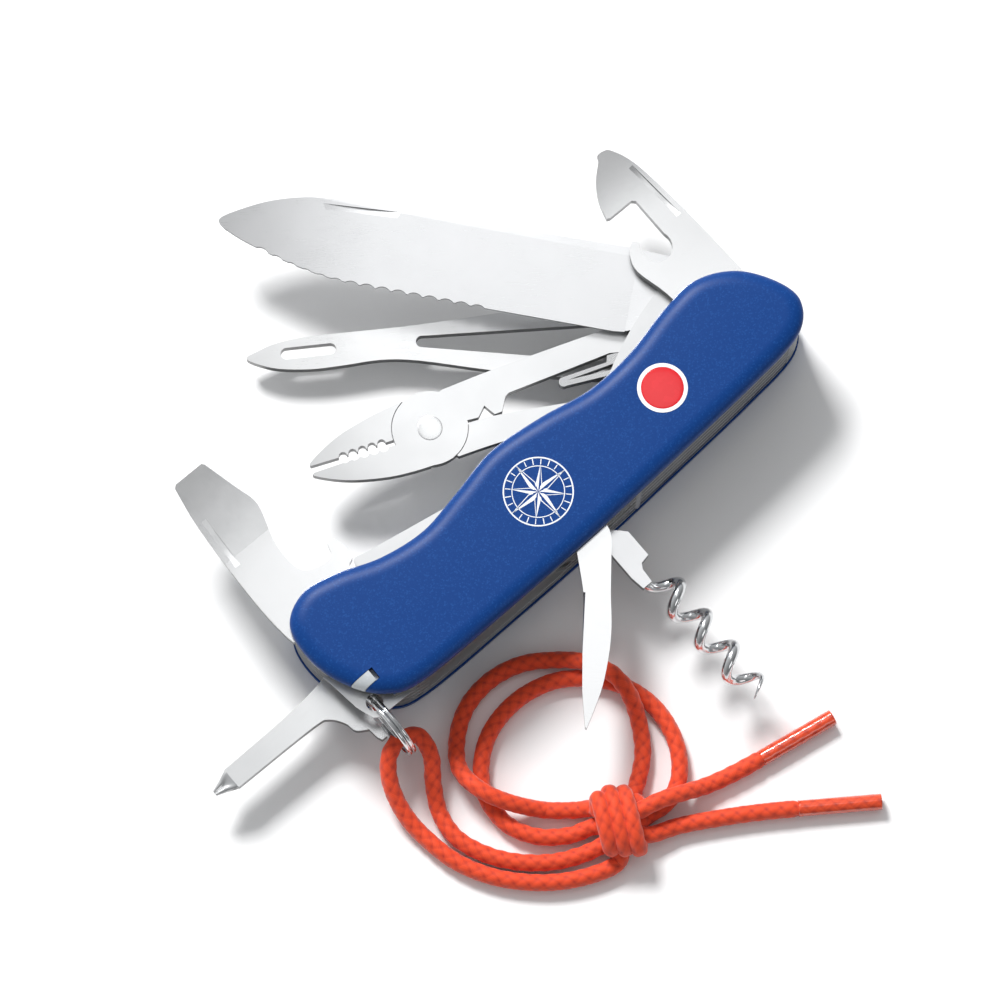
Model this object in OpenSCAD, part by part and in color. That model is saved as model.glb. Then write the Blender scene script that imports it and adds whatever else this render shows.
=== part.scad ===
// Folding rigging knife lying on its back scale, tools part open, with a knotted lanyard.
// +Z is up, +X runs along the handle, tools open towards +Y. The origin is in the middle of
// the back scale's flat outer face, which the knife lies on.

/* [Handle] */
// Thickness of each moulded handle scale
scale_t = 3; // [2.8:0.1:3.2]
// Thickness of each liner plate
liner_t = 0.5; // [0.4:0.1:0.6]
// Width of the gap that each tool layer sits in
layer_t = 2.5; // [2.4:0.1:2.6]
// Play between a tool and the liners, on each side
tool_play = 0.1; // [0.05:0.01:0.15]

/* [Pins] */
// Radius of the three main pins
pin_r = 1.25; // [1.1:0.05:1.3]
// Radial play of a tool on its pin
pin_play = 0.07; // [0.04:0.01:0.1]

/* [Open angles, from the handle's axis] */
// Main blade
blade_open = 129; // [110:1:150]
// Shackle key and marlin spike
spike_open = 142; // [135:1:150]
// Pliers
pliers_open = 157; // [150:1:160]
// Reamer
reamer_open = -133; // [-140:1:-120]

/* [Lanyard] */
// Cord diameter
cord_d = 3.2; // [2.8:0.1:3.4]
// Diameter of the sleeve over each cord end
sleeve_d = 3; // [2.6:0.1:3.4]

/* [Key ring] */
// Radius of the ring at the middle of its wire
ring_r = 6.3; // [6:0.1:6.5]
// Wire diameter; the ring has two turns side by side
wire_d = 0.9; // [0.7:0.1:1]

/* [Hidden] */

right_pivot = [46, 0];
left_pivot = [-44, -3];
back_pivot = [-0.6, -9.8];
spring_pivot = [11, -9.8];
ring_hole = [-50.3, -9.4];
ring_hole_r = 1.6;
hole_play = 0.02;
liner_inset = 0.3;
pitch_t = layer_t + liner_t;
knife_t = 2 * scale_t + 5 * layer_t + 6 * liner_t;
pin_end = 0.8;
front_floor = knife_t - scale_t;
steel = [0.78, 0.79, 0.8];
blue = [0.09, 0.23, 0.52];
orange = [0.93, 0.25, 0.07];

// Floor of tool layer n, counted from 1 under the front scale to 5 above the back scale.
function layer_z(n) = front_floor - n * pitch_t;
// Floor of liner n, counted from 1 to 6 in the same way.
function liner_z(n) = front_floor - liner_t - (n - 1) * pitch_t;

// One span of a curve that passes through its points, at t from 0 to 1.
function span(a, b, c, d, t) = 0.5 * (2 * b + (c - a) * t + (2 * a - 5 * b + 4 * c - d) * t * t
    + (3 * b - a - 3 * c + d) * t * t * t);
// Smooth closed outline through the points, n steps a span.
function ring_curve(p, n) = let (m = len(p)) [for (i = [0:m - 1]) for (k = [0:n - 1])
    span(p[(i + m - 1) % m], p[i], p[(i + 1) % m], p[(i + 2) % m], k / n)];
// Smooth open line through the points, n steps a span.
function line_curve(p, n) = let (m = len(p)) concat([for (i = [0:m - 2]) for (k = [0:n - 1])
    span(p[max(i - 1, 0)], p[i], p[i + 1], p[min(i + 2, m - 1)], k / n)], [p[m - 1]]);
// A clockwise outline moved inwards by d.
function inset(p, d) = let (m = len(p)) [for (i = [0:m - 1])
    let (t = p[(i + 1) % m] - p[(i + m - 1) % m]) p[i] + d * [t[1], -t[0]] / norm(t)];
function arc(c, r, from, to, n) = [for (i = [0:n]) let (a = from + (to - from) * i / n)
    c + r * [cos(a), sin(a)]];

// The handle's outline, clockwise from the top of its left hump.
handle = ring_curve([[-48, 13.6], [-41, 12.5], [-33, 9.6], [-24, 8.4], [-15, 9.9], [-5, 11.8],
    [6, 10.8], [16, 9], [26, 9.5], [36, 11.7], [44, 12.2], [51, 8.6], [55.4, 2], [56, -3.4],
    [51.5, -7.6], [40, -9.2], [20, -10.6], [0, -11.8], [-20, -12.4], [-41, -12.5], [-48, -10], [-52.4, -4.4],
    [-54.6, 3], [-53.5, 10.4]], 6);

module pin_holes(r) {
    for (p = [right_pivot, left_pivot, back_pivot, spring_pivot]) translate(p) circle(r, $fn = 32);
}

/* ---- scales ---- */
// Half of a scale's rounded edge is built from slabs, each set in further than the last.
edge_steps = [[0, 0], [1.5, 0.25], [2.1, 0.6], [2.6, 1.2], [2.85, 1.9]];
slot_y = [-7.4, -5];
slot_depth = 1.4;
slot_end = -4;
head_length = 4;
notch_end = -47.2;

module scale_body() {
    top = len(edge_steps) - 1;
    for (i = [0:top]) {
        z0 = edge_steps[i][0];
        z1 = i == top ? scale_t : edge_steps[i + 1][0];
        translate([0, 0, z0]) linear_extrude(z1 - z0) polygon(inset(handle, edge_steps[i][1]));
    }
}

// A channel for the slim tool kept in the scale, and a notch where its head shows.
module scale_cuts() {
    slot_w = slot_y[1] - slot_y[0];
    translate([-60, slot_y[0], -1]) cube([slot_end + 60, slot_w, slot_depth + 1]);
    translate([-60, slot_y[0], -1]) cube([notch_end + 60, slot_w, scale_t + 2]);
    for (p = [right_pivot, left_pivot, back_pivot])
        translate([p[0], p[1], -1]) cylinder(r = pin_r + 0.1, h = pin_end + 1.1, $fn = 32);
}

module front_scale() {
    color(blue) translate([0, 0, front_floor]) difference() {
        scale_body();
        scale_cuts();
        translate([badge_at[0], badge_at[1], scale_t - badge_depth])
            cylinder(r = badge_r + rim_w, h = scale_t, $fn = 64);
    }
}

module back_scale() {
    color(blue) translate([0, 0, scale_t]) mirror([0, 0, 1]) difference() {
        scale_body();
        scale_cuts();
    }
}

/* ---- generic round badge ---- */
badge_at = [26, 0.5];
badge_r = 3.9;
rim_w = 0.7;
badge_depth = 0.8;

module badge() {
    color("crimson") translate([badge_at[0], badge_at[1], knife_t - badge_depth])
        cylinder(r = badge_r, h = badge_depth + 0.05, $fn = 64);
}

module badge_rim() {
    color("white") translate([badge_at[0], badge_at[1], knife_t - badge_depth]) difference() {
        cylinder(r = badge_r + rim_w, h = badge_depth + 0.05, $fn = 64);
        translate([0, 0, -1]) cylinder(r = badge_r, h = badge_depth + 2, $fn = 64);
    }
}

/* ---- liners ---- */
// The back edge is set in where the closed corkscrew and reamer lie.
recess = [[-42, -19], [-39.5, -10.2], [-7, -10.2], [-5.2, -11.7], [6.4, -11.7], [7, -19]];
// The corner that the key ring hangs beside is cut away below the lock liner.
ring_notch = [[-60, -19], [-48.4, -19], [-48.4, -6.2], [-60, -6.2]];

module liner_shape() {
    polygon(inset(handle, liner_inset));
}

// Liner n: the handle's outline, with the pin holes.
module liner(n) {
    color(steel) translate([0, 0, liner_z(n)]) linear_extrude(liner_t) difference() {
        children();
        pin_holes(pin_r + hole_play);
    }
}

module front_liner() {
    liner(1) liner_shape();
}

// The liner lock plate: two sprung humps to press, and the corner with the ring's hole.
module lock_liner() {
    hump_left = line_curve([[-37, 8], [-36.6, 13], [-33, 12.6], [-24, 11], [-13, 9]], 4);
    hump_right = line_curve([[18, 8], [26, 12], [33, 14.6], [39.6, 16], [40.6, 14], [41, 10]], 4);
    liner(2) difference() {
        union() {
            liner_shape();
            polygon(hump_left);
            polygon(hump_right);
            polygon([[-44, -5], [-44, -12.2], [-51.3, -12.1], [-52.3, -11.4], [-53.4, -8], [-54.4, 0]]);
        }
        translate(ring_hole) circle(ring_hole_r, $fn = 32);
    }
}

module cut_liner(n) {
    liner(n) difference() {
        liner_shape();
        polygon(ring_notch);
        polygon(recess);
    }
}

module blade_liner() {
    cut_liner(3);
}

module middle_liner() {
    cut_liner(4);
}

module driver_liner() {
    liner(5) difference() {
        liner_shape();
        polygon(ring_notch);
    }
}

module back_liner() {
    liner(6) liner_shape();
}

/* ---- back springs ---- */
// A bar along the back edge. Low and high are its two edges, from the left end to the right.
module spring_bar(n, low, high) {
    color(steel) translate([0, 0, layer_z(n)]) linear_extrude(layer_t) difference() {
        polygon(concat(low, [for (i = [len(high) - 1:-1:0]) high[i]]));
        pin_holes(pin_r + hole_play);
    }
}

right_low = [[10, -10.9], [20, -10.3], [40, -8.9], [49.5, -7.9]];
right_high = [[9, -8.2], [14, -8.1], [18, -9.1], [30, -8.7], [44, -7.4], [49.5, -7]];
left_low = [[-47, -10], [-42, -12]];
left_high = [[-47, -9.7], [-40, -9.8]];
// Past the folded back tools the bar is set in from the edge, and it bows over their shanks.
bowed_low = concat(left_low, [[-39.5, -10.2], [-10, -10.2], [-4.2, -7.4], [6, -7.4]], right_low);
straight_low = concat(left_low, [[-39.5, -10.2], [-10, -10.2], [-7, -11.6], [6.4, -11.2]], right_low);
bowed_high = concat(left_high, [[-36, -8.6], [-12, -8.6], [-5.4, -6.5], [7, -6.5]], right_high);
straight_high = concat(left_high, [[-36, -8.6], [-12, -8.6], [-4, -7.8], [6, -7.8]], right_high);

module opener_spring() {
    low = concat([[-47, -11], [-42, -12], [-24, -11.6], [-12, -10], [-5.2, -6.7], [6.4, -6.7]], right_low);
    high = concat([[-47, -10.1], [-40, -10.1], [-30, -9.9], [-20, -9.1], [-13, -8.1], [-6.4, -5.3], [8, -5.3]],
        right_high);
    spring_bar(1, low, high);
}

module blade_spring() {
    spring_bar(2, straight_low, straight_high);
}

module pliers_spring_bar() {
    spring_bar(3, bowed_low, bowed_high);
}

module driver_spring() {
    spring_bar(4, straight_low, straight_high);
}

module spike_spring() {
    low = concat(left_low, [[-20, -11.9], [0, -11.3]], right_low);
    high = concat(left_high, [[-30, -9.6], [-6, -9], [0, -7.8], [5, -7.8]], right_high);
    spring_bar(5, low, high);
}

/* ---- pins ---- */
module long_pin(at, from, to) {
    color("gainsboro") translate([at[0], at[1], from]) cylinder(r = pin_r, h = to - from, $fn = 32);
}

module right_pin() {
    long_pin(right_pivot, scale_t - pin_end, front_floor + pin_end);
}

module left_pin() {
    long_pin(left_pivot, scale_t - pin_end, front_floor + pin_end);
}

module middle_pin() {
    long_pin(back_pivot, scale_t - pin_end, front_floor + pin_end);
}

module spring_pin() {
    long_pin(spring_pivot, scale_t, front_floor);
}

/* ---- tools ---- */
tool_t = layer_t - 2 * tool_play;
bore_r = pin_r + pin_play;

// Places a tool drawn with its pivot at the origin and its length along +X, thickness up from 0.
module place(pivot, angle, flip, n) {
    translate([pivot[0], pivot[1], layer_z(n) + tool_play]) rotate(angle) mirror([0, flip, 0]) children();
}

// A flat tool with its pivot bore.
module flat_tool(points, t = tool_t) {
    difference() {
        linear_extrude(t) polygon(points);
        translate([0, 0, -1]) cylinder(r = bore_r, h = t + 2, $fn = 32);
    }
}

// A shallow crescent for a thumbnail, cut in the upper face.
module nail_nick(at, angle, length, w) {
    depth = 0.5;
    r = (length * length / 4 + depth * depth) / (2 * depth);
    translate([at[0], at[1], tool_t - depth + r]) rotate(angle) rotate([90, 0, 0])
        translate([0, 0, -w / 2]) cylinder(r = r, h = w, $fn = 180);
}

// Large blade with a rounded tip: the spine is straight, the edge is scalloped to the tip.
edge_b = -5;
scallop_pitch = 2.95;
scallop_r = 1.9;
blade_edge = line_curve([[48, -4.9], [60, -5], [70, -5], [77, -4.6], [83, -3.6], [89, -2.1],
    [94, -0.6], [97.6, 0.9]], 4);

module main_blade() {
    tang = line_curve([[20.5, -4], [12, -5.4], [0, -6.5], [-4.8, -4.2], [-6.4, 0], [-4.4, 4.6],
        [0, 6.4], [4.4, 6.8], [8, 9], [12, 10.6], [24, 11.2]], 4);
    point = line_curve([[75, 10.1], [83, 9.5], [90, 7.5], [95.4, 4.8], [98.8, 2.4], [97.6, 0.9]], 5);
    back_edge = [for (i = [len(blade_edge) - 1:-1:0]) blade_edge[i]];
    color(steel) place(right_pivot, blade_open, 1, 2) difference() {
        flat_tool(concat(tang, point, back_edge, [[24, -4.7], [21.4, -4.4]]));
        for (side = [0, 1]) grind(side);
        for (i = [0:14]) scallop(i);
        nail_nick([73.6, 8.7], -4, 14.6, 1.1);
    }
}

// Flat grind from the spine down to the edge, on one face.
module grind(side) {
    rise = tool_t * 0.42;
    z0 = side == 0 ? 0 : tool_t;
    flip = side == 0 ? 1 : -1;
    translate([21.8, 0, z0]) rotate([90, 0, 90]) linear_extrude(90)
        polygon([[9.6, 0], [-6, flip * rise], [-12, flip * rise], [-12, -flip], [9.6, -flip]]);
}

// Scallop i along the edge: its centre lies just outside the edge curve.
module scallop(i) {
    at = 49 + i * scallop_pitch;
    b = at < 75 ? -5 : -5 + pow((at - 75) / 23, 1.75) * 6.3;
    translate([at, b - scallop_r + 0.55, -1]) cylinder(r = scallop_r, h = tool_t + 2, $fn = 32);
}

module can_opener() {
    outline = concat(line_curve([[-6, 3], [-3, 5.8], [2, 6.4], [10, 6.1], [24, 5.5], [36, 4.3],
        [41, 2.5], [42, 1.2], [42, -0.2], [41, -0.8], [38.6, -3.4], [35.4, -5.5], [31.8, -6.6]], 4),
        [[31.5, -6], [31.5, -0.9], [30.9, -0.3]], arc([21.9, -3], 2.9, 70, 250, 12),
        line_curve([[23.6, -5.6], [24.4, -5.1], [25.2, -5.4], [25.3, -6.4], [23.4, -8], [20.4, -8.7],
        [14, -7.3], [6, -6.7], [0, -6.7], [-5, -4.2], [-6, 0]], 4));
    color(steel) place(right_pivot, 90, 1, 1) difference() {
        flat_tool(outline);
        nail_nick([30.2, 3.6], -4, 12.6, 0.9);
        translate([28, -9, 0]) rotate([0, -5, 0]) translate([0, 0, -3]) cube([18, 18, 3]);
    }
}

module cap_lifter() {
    outline = concat(line_curve([[-5, -4], [-6.4, 0], [-4.6, 4.6], [0, 6.5], [4, 6.2], [7.6, 6], [9.2, 8.2],
        [10.4, 10.2], [13, 11], [22, 11.3], [38, 10.4], [46.8, 9]], 5), [[47.3, 8.4], [47.3, 2.4]],
        line_curve([[46.8, 2], [40, 0.4], [36, -0.6], [33, -0.2], [28, 1.4], [24, 1.8], [21, 1.4],
        [19.4, 0], [18.6, -3], [19, -4.8], [20.6, -5.4], [21.4, -5.8], [21.2, -7], [19, -7.7],
        [16.4, -7.5], [15.6, -6.2], [14.8, -6.2], [13, -7.4], [8, -7.2], [0, -6.4]], 4));
    color(steel) place(left_pivot, 90, 0, 1) difference() {
        flat_tool(outline);
        nail_nick([35.6, 9], -3.4, 14.6, 1);
        for (side = [0, 1]) translate([30, 5, side * tool_t]) rotate([0, side == 0 ? -2.6 : 2.6, 0])
            translate([0, -10, side == 0 ? -3 : 0]) cube([24, 20, 3]);
    }
}

// Cross-point driver: a flat shank whose round tip is fluted four ways.
shank_mid = -0.5;
driver_tip = 38.4;

module cross_driver() {
    outline = concat(line_curve([[-4.6, -4], [-6, 0], [-4.4, 4.4], [0, 6.2]], 4),
        [[7.7, 3.4], [7.7, 7.4], [7.9, 11.6], [9, 11.6], [9.4, 10.6]],
        line_curve([[9.6, 8.6], [11.6, 7.2], [12.2, 5], [14, 2.6], [17, 1.8], [32, 1.6]], 4),
        [[34, 1.6], [34, -2.6]], line_curve([[32, -2.6], [18, -3], [10, -4], [6, -6], [0, -6.3]], 4));
    color(steel) place(left_pivot, 180, 0, 4) {
        flat_tool(outline);
        driver_point();
    }
}

module driver_point() {
    mid = tool_t / 2;
    translate([33, shank_mid, mid]) rotate([0, 90, 0]) difference() {
        intersection() {
            rotate_extrude($fn = 48) polygon([[0, 0], [2.3, 0], [2.3, 1.9], [0.7, 5.2], [0, 5.4]]);
            translate([-tool_t / 2, -3, -1]) cube([tool_t, 6, 8]);
        }
        for (turn = [45, 135, 225, 315]) rotate(turn) translate([1.75, 0, 3.4]) rotate([0, -20, 0])
            cylinder(r = 0.9, h = 8, center = true, $fn = 24);
    }
}

/* ---- pliers ---- */
jaw_pivot = [60.5, 0];
lap_r = 7.1;
lap_play = 0.05;

module jaw_teeth(from, to, count, r) {
    for (i = [0:count - 1]) translate(from + (to - from) * i / (count - 1)) circle(r, $fn = 16);
}

// Drawn clockwise like the outlines it joins.
module lap_disc() {
    polygon(arc(jaw_pivot, lap_r - 0.15, 360, 7.5, 47));
}

module tang_half_shape() {
    difference() {
        union() {
            polygon(concat(line_curve([[-5, -4.4], [-6.4, 0], [-4.6, 4.4], [0, 6.4], [4.4, 6.6], [8, 7.8], [12, 8.5],
                [24, 8.3], [45, 7.2], [56.5, 6.2]], 4), [[58, 5.4], [64, 0], [57, -6], [56.3, -5.5],
                [54.8, -2.8], [53.8, -0.6], [51.5, -0.7], [49.8, 1.1], [48.4, -1], [47, -0.9],
                [45.6, 1.6], [44.8, 2.1], [25, 3.8]], line_curve([[18, 2.4], [10, -3.6], [0, -6.6]], 4)));
            polygon(concat([[60, -0.9]], line_curve([[83, -1.8], [83.3, -2.3], [80, -4], [76, -5.4],
                [70, -6.6], [64, -6.9], [58, -6.6]], 4)));
            lap_disc();
        }
        jaw_teeth([69.6, -0.9], [77, -0.8], 5, 0.95);
    }
}

module free_half_shape() {
    difference() {
        union() {
            polygon(concat(line_curve([[61, 6.6], [65, 6.1], [70, 5.3], [76, 3.8], [80, 2.1],
                [83.2, 0.2], [83.3, -0.4]], 4), [[78.4, -0.4], [68, -0.2], [60, -0.2]]));
            polygon(concat([[60, -3]], line_curve([[57, -6.6], [48, -6.3], [34, -6.8], [22, -6.8],
                [19.6, -6], [20, -4.8], [34, -3], [48, -1.3], [56, -1.2]], 4)));
            lap_disc();
        }
        jaw_teeth([69.8, -0.2], [77.2, -0.4], 5, 0.8);
    }
}

// The two halves are lapped at the rivet: each loses half its thickness inside the lap circle.
module lapped(z0) {
    difference() {
        linear_extrude(tool_t) children();
        translate([jaw_pivot[0], jaw_pivot[1], z0]) cylinder(r = lap_r, h = tool_t, $fn = 48);
        translate([jaw_pivot[0], jaw_pivot[1], -1]) cylinder(r = rivet_r + pin_play, h = 9, $fn = 32);
    }
}

rivet_r = 1.5;
rivet_head_r = 2.3;
rivet_proud = 0.05;

module pliers_tang_half() {
    color(steel) place(right_pivot, pliers_open, 1, 3) difference() {
        lapped(tool_t / 2 + lap_play - tool_t) tang_half_shape();
        translate([0, 0, -1]) cylinder(r = bore_r, h = 9, $fn = 32);
    }
}

module pliers_free_half() {
    color(steel) place(right_pivot, pliers_open, 1, 3) lapped(tool_t / 2 - lap_play) free_half_shape();
}

module pliers_rivet() {
    color(steel) place(right_pivot, pliers_open, 1, 3)
        translate([jaw_pivot[0], jaw_pivot[1], 0]) {
            cylinder(r = rivet_r, h = tool_t, $fn = 32);
            translate([0, 0, tool_t]) cylinder(r = rivet_head_r, h = rivet_proud, $fn = 32);
        }
}

// A leaf fixed to the tang half that pushes the free handle outwards.
module pliers_return_spring() {
    color(steel) place(right_pivot, pliers_open, 1, 3) linear_extrude(tool_t) difference() {
        polygon(concat([[18.6, 2.4], [24, 3.5], [25.6, 3.5], [26, 2.3]], arc([34.6, 1.1], 0.9, 70, -110, 8),
            [[22, -0.4], [17.6, 1.9]]));
        polygon([[25, 1.7], [33.8, 1.2], [25, 0.7]]);
    }
}

module marlin_spike() {
    outline = line_curve([[-5, -4.4], [-6.4, 0], [-4.6, 4.4], [0, 6.4], [4.4, 6.7], [9, 9], [14, 9.6], [30, 8.6],
        [45, 7], [60, 5.3], [72, 4.4], [80, 3.8], [86, 2.8], [90, 1.2], [91.8, 0.1], [90, -1],
        [86, -2.1], [80, -2.4], [74, -1.9], [67, -1.1], [60, -1.5], [48, -3.6], [36, -5.4],
        [20, -6.8], [0, -6.7]], 4);
    color(steel) place(right_pivot, spike_open, 1, 5) difference() {
        flat_tool(outline);
        translate([0, 0, -1]) linear_extrude(9) polygon(concat([[26, 4.2], [58.4, 3.2]],
            arc([59.4, 2.1], 1.1, 90, -90, 10), [[58.4, 0.9], [26, -2.9]]));
        translate([0, 0, -1]) linear_extrude(9) polygon(concat(arc([76.3, 1.3], 1.1, 90, 270, 10),
            arc([84.4, 0.7], 1.1, -90, 90, 10)));
    }
}

/* ---- corkscrew ---- */
worm_turns = 3.85;
worm_pitch = 7.52;
worm_r = 2.4;
worm_wire = 1;
worm_axis = 4.9;
worm_start = 13.9;
worm_sides = 10;
worm_steps = 20;

module corkscrew_shank() {
    outline = concat(arc([0, 0], 2.3, 70, 200, 10), [[3.6, -0.6], [5, 1]], [[11.6, 1],
        [14.4, 1.4], [14.4, 3.4], [11.6, 3.6], [10.6, 4.2], [10.2, 6.1], [4.6, 6.1], [3.4, 5]]);
    color(steel) place(back_pivot, -90, 0, 3) flat_tool(outline);
}

// Centre of the wire after t turns. It leaves the shank, opens out to a helix and ends in a point.
function worm_at(t) = let (a = 180 + t * 360, r = worm_r * min(1, 0.45 + t * 1.6))
    [worm_start + worm_pitch * t, worm_axis - worm_r + r * (1 + cos(a)), tool_t / 2 + r * sin(a)];
function worm_thick(t) = worm_wire * min(1, (worm_turns - t) * 1.4 + 0.12);

module corkscrew_worm() {
    count = round(worm_turns * worm_steps);
    path = [for (i = [0:count]) worm_at(i / worm_steps)];
    thick = [for (i = [0:count]) worm_thick(i / worm_steps)];
    color(steel) place(back_pivot, -90, 0, 3) tube(path, thick, worm_sides);
}

// A closed tube swept along a path, with a radius for each point.
module tube(path, r, sides) {
    m = len(path);
    dirs = [for (i = [0:m - 1]) let (d = path[min(i + 1, m - 1)] - path[max(i - 1, 0)]) d / norm(d)];
    side = frames(dirs, 0, start_side(dirs[0]), []);
    points = [for (i = [0:m - 1]) for (k = [0:sides - 1])
        let (u = side[i], v = cross(dirs[i], u), a = 360 * k / sides)
        path[i] + r[i] * (cos(a) * u + sin(a) * v)];
    walls = [for (i = [0:m - 2]) for (k = [0:sides - 1]) let (n = (k + 1) % sides)
        [i * sides + k, (i + 1) * sides + k, (i + 1) * sides + n, i * sides + n]];
    first = [for (k = [0:sides - 1]) k];
    last = [for (k = [sides - 1:-1:0]) (m - 1) * sides + k];
    polyhedron(points = points, faces = concat([first], [for (w = walls) [w[0], w[1], w[2]]],
        [for (w = walls) [w[0], w[2], w[3]]], [last]));
}

function start_side(d) = let (s = cross(d, abs(d[2]) < 0.9 ? [0, 0, 1] : [1, 0, 0])) s / norm(s);
// Carries the first side along the path without twist.
function frames(dirs, i, last, got) = i == len(dirs) ? got
    : let (s = last - (last * dirs[i]) * dirs[i], u = s / norm(s)) frames(dirs, i + 1, u, concat(got, [u]));

module reamer() {
    outline = concat(line_curve([[-2, -2], [-2.7, 0.4], [-1.6, 2.6], [1, 4.4], [6, 4.7], [12, 4.9],
        [18, 5.3], [23, 5.1], [29, 4.2], [34, 2.7], [36.8, 1.7]], 4), [[36.6, 1.4]],
        line_curve([[30, 0.6], [20, 0.2], [13, 0], [9.6, -0.5], [0, -2.6]], 4));
    color(steel) place(back_pivot, reamer_open, 0, 1) difference() {
        flat_tool(outline);
        translate([12, 0.9, 1.6]) rotate([40, 0, 0]) translate([0, -3, 0]) cube([30, 3, 4]);
    }
}

/* ---- toothpick and tweezers ---- */
pick_play = 0.1;

module slim_tool(thick) {
    w = slot_y[1] - slot_y[0] - 2 * pick_play;
    translate([-52, slot_y[0] + pick_play, 0]) cube([head_length, w, scale_t - 0.5]);
    translate([-48.2, 0, 0.05]) linear_extrude(thick) polygon([[0, slot_y[0] + pick_play],
        [38, slot_y[0] + 0.7], [42.6, slot_y[0] + 1.2], [38, slot_y[1] - 0.7], [0, slot_y[1] - pick_play]]);
}

module toothpick() {
    color("lightgray") translate([0, 0, front_floor]) slim_tool(1.1);
}

module tweezers() {
    color("silver") translate([0, 0, scale_t]) mirror([0, 0, 1]) slim_tool(0.9);
}

/* ---- key ring ---- */
ring_mid = [ring_hole[0], -13.7, 10.65];

module key_ring() {
    color("silver") translate(ring_mid) rotate([0, 90, 0]) for (side = [-1, 1])
        translate([0, 0, side * wire_d * 0.49]) rotate_extrude($fn = 72)
            translate([ring_r, 0]) circle(wire_d / 2, $fn = 16);
}

/* ---- lanyard ---- */
lie = cord_d / 2;
hump = 3 * lie + 0.5;
neck_route = [[-34, -58.4, lie], [-38.5, -57.4, lie], [-44, -54.6, lie], [-49, -50.6, lie],
    [-53.4, -45.4, lie], [-56.6, -39, lie], [-58, -31.6, lie], [-58, -26, 3], [-56.6, -21, 5.4],
    [-54, -17.6, 7.2], [-50.6, -16.2, 7.8], [-47.4, -18, 7.2], [-47.8, -22, 5.4], [-50.6, -26, 3.3],
    [-53, -30.6, lie], [-53.6, -36, lie], [-51.6, -41.6, lie], [-48, -46.6, lie], [-43, -50.8, lie],
    [-38, -53.2, lie], [-33.6, -54.4, 2.2]];
over_route = [[-25.4, -51.4, 3], [-22, -49.6, lie], [-17.6, -46, lie], [-14.4, -41, 2.4],
    [-12.8, -36, hump], [-13, -31, hump], [-15.4, -26.2, 3.9], [-20, -21.6, lie], [-25, -18.8, lie],
    [-31, -17.8, lie], [-37, -19, lie], [-42, -22.4, lie], [-45.2, -27, 3.4], [-45, -32.4, hump],
    [-42.4, -37.6, 4.4], [-38, -42.6, lie], [-34, -46, lie], [-31.6, -47.8, 2.8]];
under_route = [[-24.6, -55.4, lie], [-20, -55.8, lie], [-15.6, -53.8, lie], [-12.2, -49.4, lie],
    [-10.6, -44, lie], [-10.8, -38.6, lie], [-12.8, -33.4, lie], [-16.6, -28.8, lie],
    [-22, -25.2, lie], [-29, -23.8, lie], [-36, -25, lie], [-41.4, -28.6, lie], [-44.6, -33.6, lie],
    [-45, -40, lie], [-42.2, -45.4, lie], [-37.6, -49, lie], [-33.4, -50.6, 2.2]];
upper_tail_route = [[-25.6, -54, 5.6], [-21.6, -55, hump + 0.3], [-17.6, -56.4, 4.6],
    [-13, -58, 2], [-8, -59.4, lie], [-1.6, -60.7, lie]];
lower_tail_route = [[-26.4, -58.4, 2.4], [-21.4, -60.4, lie], [-15.6, -63.6, lie],
    [-9.4, -67.4, lie], [-3.2, -71.6, lie]];
upper_end = [13.2, -63.3, sleeve_d / 2];
lower_end = [9.8, -80.8, sleeve_d / 2];

module cord(route, steps = 1) {
    path = line_curve(route, steps);
    color(orange) tube(path, [for (p = path) cord_d / 2], 8);
}

module lanyard_neck() {
    cord(neck_route);
}

module lanyard_over_loop() {
    cord(over_route);
}

module lanyard_under_loop() {
    cord(under_route);
}

module lanyard_upper_tail() {
    cord(upper_tail_route);
}

module lanyard_lower_tail() {
    cord(lower_tail_route);
}

module lanyard_knot() {
    color(orange) hull() {
        for (p = [[-29.4, -49.2, 3.6, 3.4], [-28.2, -56.6, 3.4, 3.2], [-30.6, -55.6, 3.4, 3.2],
            [-27.4, -52, 3.6, 3.4]]) translate([p[0], p[1], p[2]]) sphere(r = p[3], $fn = 24);
    }
}

module sleeve(route, end) {
    start = route[len(route) - 1];
    along = end - start;
    color("darkorange") translate([start[0], start[1], sleeve_d / 2]) rotate(atan2(along[1], along[0]))
        rotate([0, 90, 0]) cylinder(d = sleeve_d, h = norm([along[0], along[1]]), $fn = 24);
}

module upper_sleeve() {
    sleeve(upper_tail_route, upper_end);
}

module lower_sleeve() {
    sleeve(lower_tail_route, lower_end);
}

front_scale();
back_scale();
front_liner();
lock_liner();
blade_liner();
middle_liner();
driver_liner();
back_liner();
opener_spring();
blade_spring();
pliers_spring_bar();
driver_spring();
spike_spring();
right_pin();
left_pin();
middle_pin();
spring_pin();
badge();
badge_rim();
main_blade();
can_opener();
cap_lifter();
cross_driver();
pliers_tang_half();
pliers_free_half();
pliers_rivet();
pliers_return_spring();
marlin_spike();
corkscrew_shank();
corkscrew_worm();
reamer();
toothpick();
tweezers();
key_ring();
lanyard_neck();
lanyard_over_loop();
lanyard_under_loop();
lanyard_upper_tail();
lanyard_lower_tail();
lanyard_knot();
upper_sleeve();
lower_sleeve();
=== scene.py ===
# %% [markdown]
# # A folding rigging knife with its lanyard
# The measured parts of the knife come from the CAD model. This notebook adds what CAD leaves plain:
# the braided lanyard and its knot, the split ring, the wound corkscrew wire, the moulded scales
# with their printed rose, the ground driver point, and a finish for every surface. The scene is in
# metres, in the CAD's own frame. Outlines are written in millimetres and multiplied by MM.

# %% Start
import math
import bmesh
import bpy
import numpy as np
from mathutils import Matrix, Vector


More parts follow.
